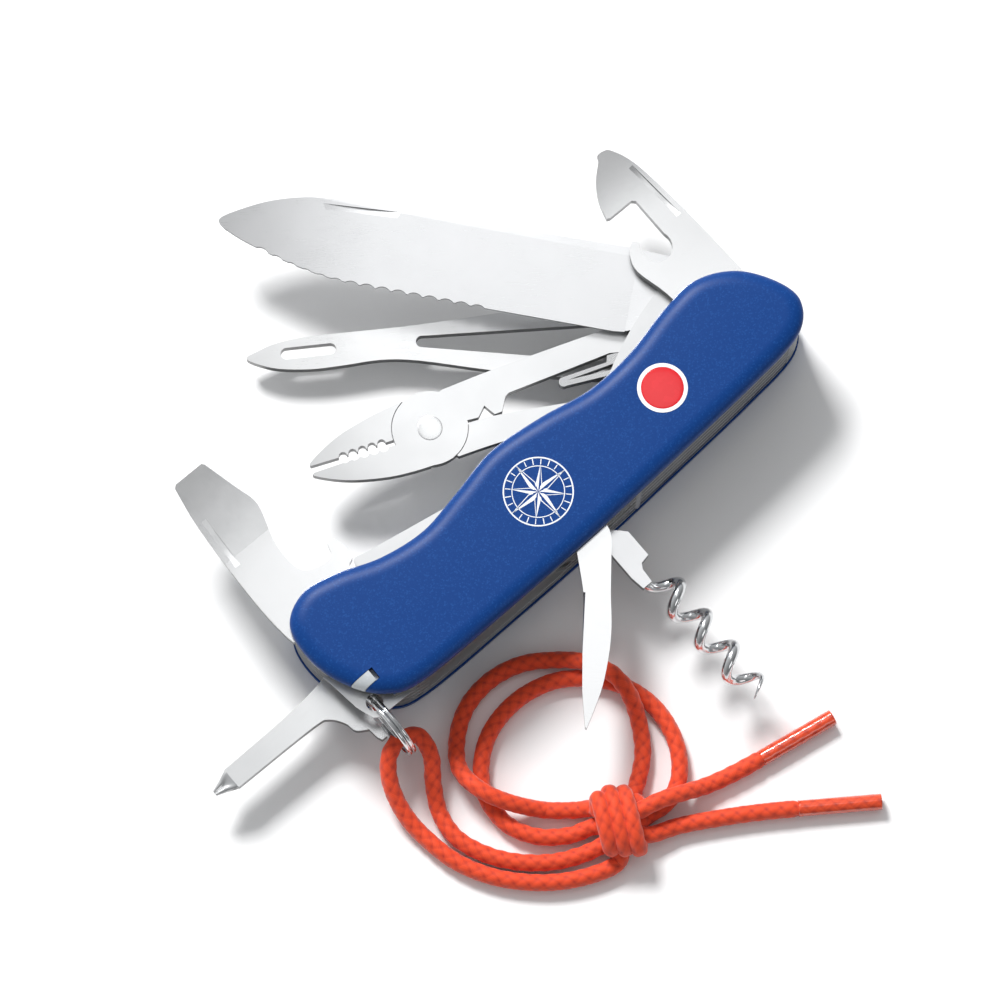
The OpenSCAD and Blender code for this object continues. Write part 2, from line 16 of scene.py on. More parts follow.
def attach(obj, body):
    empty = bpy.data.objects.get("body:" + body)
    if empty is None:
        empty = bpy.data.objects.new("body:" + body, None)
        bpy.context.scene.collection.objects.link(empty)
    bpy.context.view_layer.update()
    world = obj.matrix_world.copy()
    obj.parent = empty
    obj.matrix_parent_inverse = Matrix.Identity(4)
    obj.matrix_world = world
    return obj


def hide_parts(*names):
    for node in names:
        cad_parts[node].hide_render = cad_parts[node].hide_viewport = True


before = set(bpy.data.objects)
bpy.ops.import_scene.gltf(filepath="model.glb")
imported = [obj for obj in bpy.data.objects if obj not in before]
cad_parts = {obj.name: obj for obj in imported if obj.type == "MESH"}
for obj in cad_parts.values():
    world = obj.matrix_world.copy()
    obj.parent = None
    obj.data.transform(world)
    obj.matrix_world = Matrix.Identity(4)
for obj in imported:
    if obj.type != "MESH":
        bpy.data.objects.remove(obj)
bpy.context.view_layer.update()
MM = 0.001

# %% [markdown]
# ## The camera
# A long lens a metre away keeps the knife's outline nearly true. The knife lies with its handle
# turned about forty degrees, and the camera leans back twelve degrees from straight above. Building the
# camera from three directions (right, up and back) is exact, where aiming it by hand is guesswork.

# %% Camera
TURN = math.radians(40.1)
LEAN = math.radians(12)
right = Vector((math.cos(TURN), -math.sin(TURN), 0))
away = Vector((math.sin(TURN), math.cos(TURN), 0))
back = -math.sin(LEAN) * away + math.cos(LEAN) * Vector((0, 0, 1))
up = math.cos(LEAN) * away + math.sin(LEAN) * Vector((0, 0, 1))
TARGET = Vector((-0.009878, 0.003557, 0.0215))
DISTANCE = 1.0

lens = bpy.data.cameras.new("camera")
lens.lens = 199.66
lens.sensor_width = 36
camera = bpy.data.objects.new("camera", lens)
camera.matrix_world = Matrix.Translation(TARGET + DISTANCE * back) @ Matrix(
    (right, up, back)).transposed().to_4x4()
bpy.context.collection.objects.link(camera)
bpy.context.scene.camera = camera
bpy.context.scene.view_settings.view_transform = "Standard"
print("camera at", [round(x, 3) for x in camera.matrix_world.translation])

# %% [markdown]
# ## Light and floor
# Polished steel shows whatever is around it, so the light is part of the finish. A broad soft lamp
# above and behind gives gentle shadows that fall towards the viewer. A second, smaller panel stands
# where flat steel mirrors it. Each blade runs from bright to grey along its length partly from that
# panel and partly from a painted darker reflection towards its tip.

# %% Light helper
def lamp(name, place, aim, size, power):
    data = bpy.data.lights.new(name, "AREA")
    data.shape = "RECTANGLE"
    data.size, data.size_y = size
    data.energy = power
    lamp_object = bpy.data.objects.new(name, data)
    direction = Vector(aim) - Vector(place)
    turn = direction.to_track_quat("-Z", "Y")
    lamp_object.matrix_world = Matrix.Translation(place) @ turn.to_matrix().to_4x4()
    bpy.context.collection.objects.link(lamp_object)
    print(name, "at", round(direction.length, 2), "m,", power, "W")


# %% Lamps
centre = Vector((0, 0, 0.01))


def standing(back_by, right_by, height):
    """A place measured from the knife: away from the viewer, to the right, and up."""
    return centre + back_by * away + right_by * right + Vector((0, 0, height))


lamp("soft_box", standing(0.62, -0.34, 0.75), centre, (0.3, 0.26), 13.5)
lamp("mirror_panel", standing(0.16, 0.02, 0.8), centre, (0.24, 0.24), 0.2)
lamp("low_fill", standing(-0.5, 0.5, 0.5), centre, (0.4, 0.3), 0.6)

# %% World
world = bpy.data.worlds.new("studio")
world.use_nodes = True
bpy.context.scene.world = world
sky = world.node_tree.nodes
links = world.node_tree.links
coords = sky.new("ShaderNodeTexCoord")
side = sky.new("ShaderNodeVectorMath")
side.operation = "DOT_PRODUCT"
side.inputs[1].default_value = (0.7 * away - 0.7 * right)[:]
shade = sky.new("ShaderNodeMapRange")
shade.inputs["From Min"].default_value = -0.7
shade.inputs["From Max"].default_value = 0.7
shade.inputs["To Min"].default_value = 0.2
shade.inputs["To Max"].default_value = 0.66
links.new(coords.outputs["Generated"], side.inputs[0])
links.new(side.outputs["Value"], shade.inputs["Value"])
links.new(shade.outputs["Result"], sky["Background"].inputs["Strength"])
sky["Background"].inputs["Color"].default_value = (0.97, 0.985, 1, 1)

# %% [markdown]
# ## Making a material
# Each finish is a Principled shader. A small helper makes the material and sets its constant values
# on the shader's own sockets, so that each finish below only says what is special about it.

# %% Material helper
def new_material(name, color, metallic=0.0, roughness=0.5, **values):
    material = bpy.data.materials.new(name)
    material.use_nodes = True
    shader = material.node_tree.nodes["Principled BSDF"]
    shader.inputs["Base Color"].default_value = (*color, 1)
    shader.inputs["Metallic"].default_value = metallic
    shader.inputs["Roughness"].default_value = roughness
    for key, value in values.items():
        shader.inputs[key.replace("_", " ")].default_value = value
    material.diffuse_color = (*color, 1)
    return material


# %% Floor
bpy.ops.mesh.primitive_plane_add(size=6, location=(0, 0, -0.0002))
floor = bpy.context.object
floor.name = "floor"
paper = new_material("paper", (0.9, 0.9, 0.9), roughness=0.9)
grain = paper.node_tree.nodes.new("ShaderNodeTexNoise")
grain.inputs["Scale"].default_value = 900
bump = paper.node_tree.nodes.new("ShaderNodeBump")
bump.inputs["Strength"].default_value = 0.02
bump.inputs["Distance"].default_value = 0.0001
paper.node_tree.links.new(grain.outputs["Fac"], bump.inputs["Height"])
paper_shader = paper.node_tree.nodes["Principled BSDF"]
paper.node_tree.links.new(bump.outputs["Normal"], paper_shader.inputs["Normal"])
floor.data.materials.append(paper)

# %% [markdown]
# ## Curves through points
# The cord, the wire and the handle's outline are all smooth curves through a few chosen points. The
# Catmull-Rom rule passes through every point, so the points can be read straight off the object.

# %% Curve helpers
def span(a, b, c, d, t):
    return 0.5 * (2 * b + (c - a) * t + (2 * a - 5 * b + 4 * c - d) * t * t
                  + (3 * b - a - 3 * c + d) * t * t * t)


def through(points, steps, closed=False):
    p = np.array(points, float)
    count = len(p)
    made = []
    for i in range(count if closed else count - 1):
        near = [(i + k) % count if closed else min(max(i + k, 0), count - 1) for k in (-1, 0, 1, 2)]
        made += [span(*p[near], k / steps) for k in range(steps)]
    return np.array(made if closed else made + [p[-1]])


def lying(line, radius):
    """Keeps a cord's centre at least its radius above the ground."""
    line[:, 2] = np.maximum(line[:, 2], radius)
    return line


def evenly(line, step):
    run = np.concatenate([[0], np.cumsum(np.linalg.norm(np.diff(line, axis=0), axis=1))])
    at = np.linspace(0, run[-1], max(2, round(run[-1] / step) + 1))
    return np.stack([np.interp(at, run, line[:, k]) for k in range(3)], axis=1), at


def sides_of(line):
    """Two directions across the line at each point, carried along without twist."""
    ahead = np.gradient(line, axis=0)
    ahead /= np.linalg.norm(ahead, axis=1)[:, None]
    first = np.cross(ahead[0], (0, 0, 1) if abs(ahead[0][2]) < 0.9 else (1, 0, 0))
    u = [first / np.linalg.norm(first)]
    for d in ahead[1:]:
        s = u[-1] - (u[-1] @ d) * d
        u.append(s / np.linalg.norm(s))
    u = np.array(u)
    return u, np.cross(ahead, u)


# %% Mesh helper
def new_piece(name, points, faces, material, smooth=True):
    mesh = bpy.data.meshes.new(name)
    mesh.from_pydata([tuple(p) for p in points], [], [tuple(f) for f in faces])
    mesh.validate()
    mesh.materials.append(material)
    mesh.polygons.foreach_set("use_smooth", [smooth] * len(mesh.polygons))
    piece = bpy.data.objects.new(name, mesh)
    bpy.context.collection.objects.link(piece)
    return piece


def tube_faces(rings, sides):
    k = np.arange(sides)
    n = (k + 1) % sides
    walls = []
    for i in range(rings - 1):
        a, b = i * sides, (i + 1) * sides
        walls += [(a + x, a + y, b + y, b + x) for x, y in zip(k, n)]
    return walls, tuple(k[::-1]), tuple((rings - 1) * sides + k)


# %% [markdown]
# ## The lanyard's route
# The lanyard is one braided cord. It is doubled through the split ring, runs twice round in loose
# coils, is knotted over itself, and ends in two sealed tips. It is made as two cords that each start
# in the ring, because a cord here is measured from the place where it leaves the knife. Their
# patterns mirror each other there, so the braid runs on without a seam. The points are the ones
# that the CAD's plain tubes follow, with a few more inside the knot.

# %% Route
LIE = 1.6
HUMP = 5.3
neck = [(-34, -58.4, LIE), (-38.5, -57.4, LIE), (-44, -54.6, LIE), (-49, -50.6, LIE),
        (-53.4, -45.4, LIE), (-56.6, -39, LIE), (-58, -31.6, LIE), (-58, -26, 3), (-56.6, -21, 5.4),
        (-54, -17.6, 7.2), (-50.6, -16.2, 7.8), (-47.4, -18, 7.2), (-47.8, -22, 5.4),
        (-50.6, -26, 3.3), (-53, -30.6, LIE), (-53.6, -36, LIE), (-51.6, -41.6, LIE),
        (-48, -46.6, LIE), (-43, -50.8, LIE), (-38, -53.2, LIE), (-33.6, -54.4, 2.2)]
over_loop = [(-25.4, -51.4, 3), (-22, -49.6, LIE), (-17.6, -46, LIE), (-14.4, -41, 2.4),
             (-12.8, -36, HUMP), (-13, -31, HUMP), (-15.4, -26.2, 3.9), (-20, -21.6, LIE),
             (-25, -18.8, LIE), (-31, -17.8, LIE), (-37, -19, LIE), (-42, -22.4, LIE),
             (-45.2, -27, 3.4), (-45, -32.4, HUMP), (-42.4, -37.6, 4.4), (-38, -42.6, LIE),
             (-34, -46, LIE), (-31.6, -47.8, 2.8)]
under_loop = [(-24.6, -55.4, LIE), (-20, -55.8, LIE), (-15.6, -53.8, LIE), (-12.2, -49.4, LIE),
              (-10.6, -44, LIE), (-10.8, -38.6, LIE), (-12.8, -33.4, LIE), (-16.6, -28.8, LIE),
              (-22, -25.2, LIE), (-29, -23.8, LIE), (-36, -25, LIE), (-41.4, -28.6, LIE),
              (-44.6, -33.6, LIE), (-45, -40, LIE), (-42.2, -45.4, LIE), (-37.6, -49, LIE),
              (-33.4, -50.6, 2.2)]
upper_tail = [(-25.6, -54, 5.6), (-21.6, -55, HUMP + 0.3), (-17.6, -56.4, 4.6), (-13, -58, 2),
              (-8, -59.4, LIE), (-1.6, -60.7, LIE)]
lower_tail = [(-26.4, -58.4, 2.4), (-21.4, -60.4, LIE), (-15.6, -63.6, LIE), (-9.4, -67.4, LIE),
              (-3.2, -71.6, LIE)]
upper_tip = (13, -63.24, 1.5)
lower_tip = (9.64, -80.68, 1.5)
RING_BIGHT = 10

outer_points = (neck[RING_BIGHT::-1] + [(-31, -56, 3.8), (-28, -53.4, 4.6)] + over_loop
                + [(-29.6, -50.2, 4.8), (-27.6, -52.6, 5.6)] + upper_tail + [upper_tip])
inner_points = (neck[RING_BIGHT:] + [(-30.4, -54.8, 3.6), (-27.4, -55.4, 3)] + under_loop
                + [(-31, -53, 3.8), (-28.6, -56, 3.6)] + lower_tail + [lower_tip])
for name, points in (("outer cord", outer_points), ("inner cord", inner_points)):
    line = through(np.array(points) * MM, 8)
    print(name, round(float(np.linalg.norm(np.diff(line, axis=0), axis=1).sum()), 4), "m")

# %% [markdown]
# ## The braid
# A round braid has one family of strands going round to the left and one to the right, each passing
# over and then under the other. Counting strands with two numbers, a and b, that rise along the two
# families makes this simple: a strand sits where its number is whole, and it is on top where the
# two whole numbers add up to an even one. The same rule gives the height of the surface, the
# shadowed valleys, and the direction of the yarns for the material.

# %% Braid rule
STRANDS = 4
BRAID_PITCH = 2.7 * MM


def braid(turn, run):
    """Height from 0 to 1, which family is on top, and the place along and across its strand."""
    a = STRANDS * turn + run / BRAID_PITCH
    b = STRANDS * turn - run / BRAID_PITCH
    ra, rb = np.round(a), np.round(b)
    top_a = 0.5 + 0.5 * np.cos(np.pi * (ra + b))
    top_b = 0.5 - 0.5 * np.cos(np.pi * (rb + a))
    height_a = (1 - (2 * (a - ra)) ** 2) ** 0.6 * (0.35 + 0.65 * top_a)
    height_b = (1 - (2 * (b - rb)) ** 2) ** 0.6 * (0.35 + 0.65 * top_b)
    left = height_a > height_b
    return (np.maximum(height_a, height_b), left, np.where(left, b, a),
            np.where(left, a - ra, b - rb))


# %% Braided tube
SIDES = 28
RING_STEP = 0.24 * MM
RELIEF = 0.2 * MM


def braided(name, line, radius, material, relief=RELIEF, narrow=None):
    """A cord along the line. narrow gives (length at the end, radius there)."""
    line, run = evenly(line, RING_STEP)
    u, v = sides_of(line)
    turn = np.arange(SIDES) / SIDES
    height = braid(turn[None, :], run[:, None])[0]
    size = np.full(len(run), radius)
    if narrow:
        left = (run[-1] - run) / narrow[0]
        size = radius + (narrow[1] - radius) * np.clip((1.06 - left) / 0.06, 0, 1)
    r = size[:, None] - relief * (1 - height)
    angle = 2 * np.pi * turn
    points = (line[:, None, :] + (r * np.cos(angle))[..., None] * u[:, None, :]
              + (r * np.sin(angle))[..., None] * v[:, None, :])
    walls, first, last = tube_faces(len(line), SIDES)
    piece = new_piece(name, points.reshape(-1, 3), walls + [first, last], material)
    mesh = piece.data
    level = mesh.attributes.new("relief", "FLOAT", "POINT")
    level.data.foreach_set("value", height.astype(np.float32).ravel())
    yarn = mesh.uv_layers.new(name="yarn")
    i, k = np.divmod(np.arange(len(walls)), SIDES)
    corner_run = np.stack([run[i], run[i], run[i + 1], run[i + 1]], 1)
    corner_turn = np.stack([k, k + 1, k + 1, k], 1) / SIDES
    middle = braid(corner_turn.mean(1), corner_run.mean(1))[1][:, None]
    a = STRANDS * corner_turn + corner_run / BRAID_PITCH
    b = STRANDS * corner_turn - corner_run / BRAID_PITCH
    uv = np.stack([np.where(middle, b, a), np.where(middle, a, b)], -1).reshape(-1, 2)
    uv = np.concatenate([uv, np.zeros((2 * SIDES, 2))])
    yarn.data.foreach_set("uv", uv.astype(np.float32).ravel())
    print(name, len(mesh.polygons), "faces,", round(float(run[-1]), 4), "m")
    return piece, line


# %% [markdown]
# ## Cord and sleeve finishes
# Braided polyester is a soft, saturated orange red. Each strand is a bundle of fine yarns, so the
# material draws thin lines along the strand from the yarn coordinates, darkens the valleys where
# light doesn't reach, and adds a little fuzz as sheen. The two tips are the same cord under a
# clear heat-shrunk sleeve: the same colours, deeper, below a glossy coat.

# %% Yarn group
def group(name, inputs, outputs):
    tree = bpy.data.node_groups.new(name, "ShaderNodeTree")
    for label, kind, value in inputs:
        socket = tree.interface.new_socket(label, in_out="INPUT", socket_type="NodeSocket" + kind)
        socket.default_value = value
    for label, kind in outputs:
        tree.interface.new_socket(label, in_out="OUTPUT", socket_type="NodeSocket" + kind)
    return tree, tree.nodes.new("NodeGroupInput"), tree.nodes.new("NodeGroupOutput")


yarns, yarn_in, yarn_out = group(
    "yarns", [("Lines", "Float", 5.0), ("Valley", "Color", (0.2, 0.01, 0, 1)),
              ("Crown", "Color", (0.9, 0.12, 0.02, 1)), ("Fuzz", "Float", 0.4)],
    [("Color", "Color"), ("Height", "Float")])
nodes, links = yarns.nodes, yarns.links
where = nodes.new("ShaderNodeUVMap")
where.uv_map = "yarn"
split = nodes.new("ShaderNodeSeparateXYZ")
links.new(where.outputs["UV"], split.inputs[0])
across = nodes.new("ShaderNodeMath")
across.operation = "MULTIPLY"
links.new(split.outputs["Y"], across.inputs[0])
links.new(yarn_in.outputs["Lines"], across.inputs[1])
ridge = nodes.new("ShaderNodeMath")
ridge.operation = "PINGPONG"
ridge.inputs[1].default_value = 0.5
links.new(across.outputs[0], ridge.inputs[0])
level = nodes.new("ShaderNodeAttribute")
level.attribute_name = "relief"
place = nodes.new("ShaderNodeTexCoord")
fuzz = nodes.new("ShaderNodeTexNoise")
fuzz.inputs["Scale"].default_value = 2600
fuzz.inputs["Detail"].default_value = 3
links.new(place.outputs["Object"], fuzz.inputs["Vector"])
valley = nodes.new("ShaderNodeMapRange")
valley.inputs["From Min"].default_value = 0.15
valley.inputs["From Max"].default_value = 0.8
links.new(level.outputs["Fac"], valley.inputs["Value"])
fibre = nodes.new("ShaderNodeMath")
fibre.operation = "MULTIPLY_ADD"
fibre.inputs[1].default_value = 0.5
links.new(ridge.outputs[0], fibre.inputs[0])
scaled = nodes.new("ShaderNodeMath")
scaled.operation = "MULTIPLY"
links.new(fuzz.outputs["Fac"], scaled.inputs[0])
links.new(yarn_in.outputs["Fuzz"], scaled.inputs[1])
links.new(scaled.outputs[0], fibre.inputs[2])
tone = nodes.new("ShaderNodeMath")
tone.operation = "MULTIPLY_ADD"
tone.inputs[2].default_value = 0.0
lift = nodes.new("ShaderNodeMath")
lift.operation = "ADD"
lift.inputs[1].default_value = 0.62
links.new(fibre.outputs[0], lift.inputs[0])
links.new(valley.outputs["Result"], tone.inputs[0])
links.new(lift.outputs[0], tone.inputs[1])
blend = nodes.new("ShaderNodeMix")
blend.data_type = "RGBA"
links.new(tone.outputs[0], blend.inputs["Factor"])
links.new(yarn_in.outputs["Valley"], blend.inputs["A"])
links.new(yarn_in.outputs["Crown"], blend.inputs["B"])
links.new(blend.outputs["Result"], yarn_out.inputs["Color"])
links.new(fibre.outputs[0], yarn_out.inputs["Height"])
print("yarn group:", len(nodes), "nodes")


# %% Group helper
def use(material, tree, values, **joins):
    """Adds the group to a material, sets its values, and links its outputs to shader inputs."""
    nodes, links = material.node_tree.nodes, material.node_tree.links
    node = nodes.new("ShaderNodeGroup")
    node.node_tree = tree
    for label, value in values.items():
        node.inputs[label].default_value = value
    for output, target in joins.items():
        links.new(node.outputs[output], nodes["Principled BSDF"].inputs[target])
    return node


def add_bump(material, node, output, distance, strength=1.0):
    nodes, links = material.node_tree.nodes, material.node_tree.links
    bump = nodes.new("ShaderNodeBump")
    bump.inputs["Distance"].default_value = distance
    bump.inputs["Strength"].default_value = strength
    links.new(node.outputs[output], bump.inputs["Height"])
    links.new(bump.outputs["Normal"], nodes["Principled BSDF"].inputs["Normal"])


# %% Cord materials
cord_finish = new_material("orange_braid", (0.85, 0.09, 0.015), roughness=0.72,
                           Sheen_Weight=0.25, Sheen_Roughness=0.5)
node = use(cord_finish, yarns, {"Lines": 6, "Valley": (0.4, 0.016, 0.002, 1),
                                "Crown": (0.78, 0.058, 0.006, 1), "Fuzz": 0.35}, Color="Base Color")
add_bump(cord_finish, node, "Height", 0.05 * MM, 0.7)
sleeve_finish = new_material("shrunk_sleeve", (0.7, 0.06, 0.01), roughness=0.25,
                             Coat_Weight=1.0, Coat_Roughness=0.08)
use(sleeve_finish, yarns, {"Lines": 3, "Valley": (0.4, 0.02, 0.004, 1),
                           "Crown": (0.78, 0.07, 0.012, 1), "Fuzz": 0.2}, Color="Base Color")

# %% Cords
CORD_D = 3.2 * MM
SLEEVE_LONG = 15 * MM
PRESSED_R = 1.36 * MM  # the cord is thinner inside its sleeve
outer_route = lying(through(np.array(outer_points) * MM, 12), CORD_D / 2)
inner_route = lying(through(np.array(inner_points) * MM, 12), CORD_D / 2)
outer, outer_line = braided("lanyard_outer", outer_route, CORD_D / 2, cord_finish,
                            narrow=(SLEEVE_LONG, PRESSED_R))
inner, inner_line = braided("lanyard_inner", inner_route, CORD_D / 2, cord_finish,
                            narrow=(SLEEVE_LONG, PRESSED_R))

# %% [markdown]
# ## The knot
# The knot is a wrap of three turns round the four strands. An ellipse wide enough for the strands,
# moved a little along the bundle as it turns, gives the wraps, and its two ends bend in between the
# strands so that no cut end shows.

# %% Knot
KNOT_AT = np.array([-29.1, -53.2, 4.5])
WRAPS = 3
along = np.array(right)
over = np.array(away)
lean_over = 0.16
t = np.linspace(-0.1, WRAPS + 0.1, 200)
inwards = np.clip(np.minimum(t + 0.1, WRAPS + 0.1 - t) / 0.22, 0.35, 1)
angle = 2 * np.pi * t
sway = 5.1 * np.cos(angle) * inwards
knot_line = (KNOT_AT + np.outer((t - WRAPS / 2) * 2.5 - lean_over * sway, along)
             + np.outer(sway, over) + np.outer(2.85 * np.sin(angle) * inwards, (0, 0, 1)))
knot, _ = braided("lanyard_wraps", knot_line * MM, CORD_D / 2, cord_finish)


# %% Sleeves
def sleeve(name, start, tip):
    line = np.array([start, tip], float) * MM
    d = line[1] - line[0]
    length = np.linalg.norm(d)
    d /= length
    line[0] = line[1] - d * SLEEVE_LONG
    line[1] += d * 0.2 * MM
    return braided(name, line, 1.5 * MM, sleeve_finish, relief=0.04 * MM)[0]


upper_sleeve = sleeve("upper_sleeve_skin", upper_tail[-1], upper_tip)
lower_sleeve = sleeve("lower_sleeve_skin", lower_tail[-1], lower_tip)

for piece in (outer, inner, knot):
    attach(piece, "handle")
for piece in (upper_sleeve, lower_sleeve):
    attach(piece, "handle")
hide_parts("lanyard_over_loop", "lanyard_upper_tail", "lanyard_neck")
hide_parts("lanyard_under_loop", "lanyard_lower_tail")
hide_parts("lanyard_knot")
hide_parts("upper_sleeve")
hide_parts("lower_sleeve")

# %% [markdown]
# ## Steel finishes
# The knife's steels differ mostly in how they were ground. Long parallel scratches are a noise
# stretched along one direction. One group makes them for every steel, with the direction, the
# scratch width and the strength as inputs, and it also gives a slow smudge pattern, as handled
# steel never has one even gloss. The group also paints shade into the colour: side walls that
# face sideways are darkened, and each tool darkens towards its tip as a painted darker reflection.

# %% Scratch group
scratches, scratch_in, scratch_out = group(
    "scratches", [("Angle", "Float", 0.0), ("Width", "Float", 0.00008), ("Stretch", "Float", 60.0),
                  ("Base", "Float", 0.25), ("Spread", "Float", 0.15),
                  ("Face", "Color", (0.7, 0.7, 0.7, 1)), ("WallShade", "Color", (0.2, 0.2, 0.2, 1)),
                  ("Root", "Vector", (0, 0, 0)), ("Start", "Float", 1.0), ("End", "Float", 2.0),
                  ("TipShade", "Float", 1.0)],
    [("Color", "Color"), ("Roughness", "Float"), ("Height", "Float")])
nodes, links = scratches.nodes, scratches.links


def math_node(kind, a, b, c=None):
    node = nodes.new("ShaderNodeMath")
    node.operation = kind
    for i, value in enumerate((a, b, c)):
        if isinstance(value, (int, float)):
            node.inputs[i].default_value = value
        elif value is not None:
            links.new(value, node.inputs[i])
    return node.outputs[0]


place = nodes.new("ShaderNodeTexCoord")
turned = nodes.new("ShaderNodeVectorRotate")
turned.rotation_type = "Z_AXIS"
links.new(place.outputs["Object"], turned.inputs["Vector"])
links.new(scratch_in.outputs["Angle"], turned.inputs["Angle"])
parts = nodes.new("ShaderNodeSeparateXYZ")
links.new(turned.outputs[0], parts.inputs[0])
fine = math_node("DIVIDE", 1, scratch_in.outputs["Width"])
coarse = math_node("DIVIDE", fine, scratch_in.outputs["Stretch"])
joined = nodes.new("ShaderNodeCombineXYZ")
links.new(math_node("MULTIPLY", parts.outputs["X"], coarse), joined.inputs["X"])
links.new(math_node("MULTIPLY", parts.outputs["Y"], fine), joined.inputs["Y"])
links.new(math_node("MULTIPLY", parts.outputs["Z"], fine), joined.inputs["Z"])
lines = nodes.new("ShaderNodeTexNoise")
lines.inputs["Scale"].default_value = 1
lines.inputs["Detail"].default_value = 4
links.new(joined.outputs[0], lines.inputs["Vector"])
cloud = nodes.new("ShaderNodeTexNoise")
cloud.inputs["Scale"].default_value = 90
cloud.inputs["Detail"].default_value = 3
links.new(place.outputs["Object"], cloud.inputs["Vector"])
mixed = math_node("MULTIPLY_ADD", lines.outputs["Fac"], 0.6,
                  math_node("MULTIPLY", cloud.outputs["Fac"], 0.4))
rough = math_node("MULTIPLY_ADD", mixed, scratch_in.outputs["Spread"], scratch_in.outputs["Base"])
links.new(rough, scratch_out.inputs["Roughness"])
links.new(lines.outputs["Fac"], scratch_out.inputs["Height"])
# Painted shade: faces that turn sideways, such as the side walls, are given the darker wall colour.
shape = nodes.new("ShaderNodeNewGeometry")
facing = nodes.new("ShaderNodeSeparateXYZ")
links.new(shape.outputs["Normal"], facing.inputs[0])
flat = nodes.new("ShaderNodeMapRange")
flat.inputs["From Min"].default_value = 0.25
flat.inputs["From Max"].default_value = 0.75
links.new(math_node("ABSOLUTE", facing.outputs["Z"], None), flat.inputs["Value"])
wall_shade_mix = nodes.new("ShaderNodeMix")
wall_shade_mix.data_type = "RGBA"
links.new(flat.outputs["Result"], wall_shade_mix.inputs["Factor"])
links.new(scratch_in.outputs["WallShade"], wall_shade_mix.inputs["A"])
links.new(scratch_in.outputs["Face"], wall_shade_mix.inputs["B"])
worn = nodes.new("ShaderNodeMix")
worn.data_type = "RGBA"
worn.blend_type = "MULTIPLY"
worn.inputs["Factor"].default_value = 0.12
links.new(wall_shade_mix.outputs["Result"], worn.inputs["A"])
links.new(cloud.outputs["Fac"], worn.inputs["B"])
# Painted reflection: the colour darkens with distance from the root, between start and end, down to the
# tip's set brightness.
gap = nodes.new("ShaderNodeVectorMath")
gap.operation = "DISTANCE"
links.new(place.outputs["Object"], gap.inputs[0])
links.new(scratch_in.outputs["Root"], gap.inputs[1])
tip_shade_ramp = nodes.new("ShaderNodeMapRange")
tip_shade_ramp.interpolation_type = "SMOOTHSTEP"
links.new(gap.outputs["Value"], tip_shade_ramp.inputs["Value"])
links.new(scratch_in.outputs["Start"], tip_shade_ramp.inputs["From Min"])
links.new(scratch_in.outputs["End"], tip_shade_ramp.inputs["From Max"])
tip_shade_ramp.inputs["To Min"].default_value = 1.0
links.new(scratch_in.outputs["TipShade"], tip_shade_ramp.inputs["To Max"])
tip_shaded = nodes.new("ShaderNodeVectorMath")
tip_shaded.operation = "SCALE"
links.new(worn.outputs["Result"], tip_shaded.inputs[0])
links.new(tip_shade_ramp.outputs["Result"], tip_shaded.inputs["Scale"])
links.new(tip_shaded.outputs[0], scratch_out.inputs["Color"])
print("scratch group:", len(nodes), "nodes")


# %% Steel helper
def steel(name, color, angle, base, spread, width=0.08, bump=0.004, stretch=60.0, wall_shade=0.12,
          root=(0, 0, 0), start=1000, end=2000, tip=1.0):
    """The wall value is how much of the face's brightness the stamped side walls keep, as painted
    shade.
    From start to end, in millimetres from the root, the colour darkens to the tip's own brightness, as
    a painted darker reflection."""
    material = new_material(name, color, metallic=1.0, roughness=base)
    values = {"Angle": math.radians(angle), "Width": width * MM, "Stretch": stretch,
              "Base": base, "Spread": spread,
              "Face": (*color, 1), "WallShade": (*(wall_shade * c for c in color), 1),
              "Root": Vector(root) * MM, "Start": start * MM, "End": end * MM, "TipShade": tip}
    node = use(material, scratches, values, Color="Base Color", Roughness="Roughness")
    add_bump(material, node, "Height", bump * MM, 0.6)
    return material


# %% Steel parts
def finish(material, *names):
    for name in names:
        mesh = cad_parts[name].data
        mesh.materials.clear()
        mesh.materials.append(material)


RIGHT_PIVOT = (46, 0, 12)
LEFT_PIVOT = (-44, -3, 12)
# Each tool's colour darkens towards its point from start to end: a painted darker reflection, not a
# change in the steel.
finish(steel("blade_satin", (0.76, 0.765, 0.775), 39, 0.22, 0.14,
             root=RIGHT_PIVOT, start=68, end=100, tip=0.6), "main_blade")
finish(steel("spike_satin", (0.76, 0.765, 0.77), 38, 0.22, 0.14,
             root=RIGHT_PIVOT, start=62, end=95, tip=0.75), "marlin_spike")
finish(steel("pliers_satin", (0.7, 0.705, 0.71), 67, 0.25, 0.16, width=0.12, stretch=12.0,
             root=RIGHT_PIVOT, start=62, end=86, tip=0.7),
       "pliers_tang_half", "pliers_free_half")
finish(steel("can_opener_polish", (0.78, 0.785, 0.79), 90, 0.16, 0.12,
             root=RIGHT_PIVOT, start=27, end=42, tip=0.52), "can_opener")
finish(steel("lifter_polish", (0.84, 0.845, 0.85), 90, 0.16, 0.12,
             root=LEFT_PIVOT, start=26, end=47, tip=0.5), "cap_lifter")
driver_finish = steel("driver_polish", (0.8, 0.805, 0.81), 0, 0.18, 0.14)
finish(steel("reamer_satin", (0.78, 0.785, 0.79), 47, 0.16, 0.1), "reamer")
finish(steel("liner_plate", (0.68, 0.685, 0.69), 0, 0.26, 0.16, wall_shade=0.85),
       "front_liner", "lock_liner", "blade_liner", "middle_liner", "driver_liner", "back_liner")
